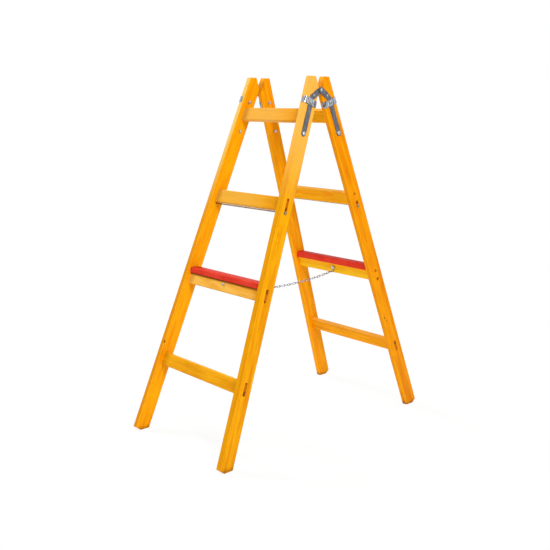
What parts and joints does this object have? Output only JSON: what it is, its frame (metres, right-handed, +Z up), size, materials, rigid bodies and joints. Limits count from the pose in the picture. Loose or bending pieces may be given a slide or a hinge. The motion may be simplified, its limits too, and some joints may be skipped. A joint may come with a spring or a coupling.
{
  "type": "double-sided wooden stepladder",
  "caption": "Folding A-frame wooden ladder with rungs on both sides, steel top hinges, clip-on tread covers and a safety chain.",
  "frame": {"origin": "on the floor, midway between the four feet, below the hinge pins", "axes": "+X across the rungs, -Y towards the front frame, +Z up"},
  "size_m": [0.4498, 0.9164, 1.137],
  "materials": {
    "lacquered_pine": "gloss lacquer",
    "red_plastic": "satin",
    "grey_steel": "dull zinc",
    "zinc_plate": "bright zinc"
  },
  "bodies": {
    "front_frame": {"front_band_bolts": "zinc_plate", "front_band_nuts": "zinc_plate", "front_chain_bolt": "zinc_plate", "front_chain_nut": "zinc_plate", "front_chain_nut_washer": "zinc_plate", "front_chain_washer": "zinc_plate", "front_hinge_arm_screws": "zinc_plate", "front_left_band": "zinc_plate", "front_left_hinge_leaf": "grey_steel", "front_left_stile": "lacquered_pine", "front_right_band": "zinc_plate", "front_right_hinge_leaf": "grey_steel", "front_right_stile": "lacquered_pine", "front_rung_1": "lacquered_pine", "front_rung_2": "lacquered_pine", "front_rung_3": "lacquered_pine", "front_rung_4": "lacquered_pine", "front_strap_bolts": "zinc_plate", "front_strap_nuts": "zinc_plate", "front_tie_rod": "zinc_plate", "front_tie_rod_washers": "zinc_plate", "front_tread_cover": "red_plastic", "hinge_pin_rivets": "zinc_plate", "safety_chain": "zinc_plate"},
    "rear_frame": {"rear_band_bolts": "zinc_plate", "rear_band_nuts": "zinc_plate", "rear_chain_bolt": "zinc_plate", "rear_chain_nut": "zinc_plate", "rear_chain_nut_washer": "zinc_plate", "rear_chain_washer": "zinc_plate", "rear_hinge_arm_screws": "zinc_plate", "rear_left_band": "zinc_plate", "rear_left_hinge_leaf": "grey_steel", "rear_left_stile": "lacquered_pine", "rear_right_band": "zinc_plate", "rear_right_hinge_leaf": "grey_steel", "rear_right_stile": "lacquered_pine", "rear_rung_1": "lacquered_pine", "rear_rung_2": "lacquered_pine", "rear_rung_3": "lacquered_pine", "rear_rung_4": "lacquered_pine", "rear_strap_bolts": "zinc_plate", "rear_strap_nuts": "zinc_plate", "rear_tie_rod": "zinc_plate", "rear_tie_rod_washers": "zinc_plate", "rear_tread_cover": "red_plastic"}
  },
  "joints": [
    {"name": "fold", "type": "hinge", "parent": "front_frame", "child": "rear_frame", "pos_m": [0, 0, 1.09545], "axis": [-1, 0, 0], "range_deg": [0, 40.6], "deforming": ["safety_chain"]}
  ]
}
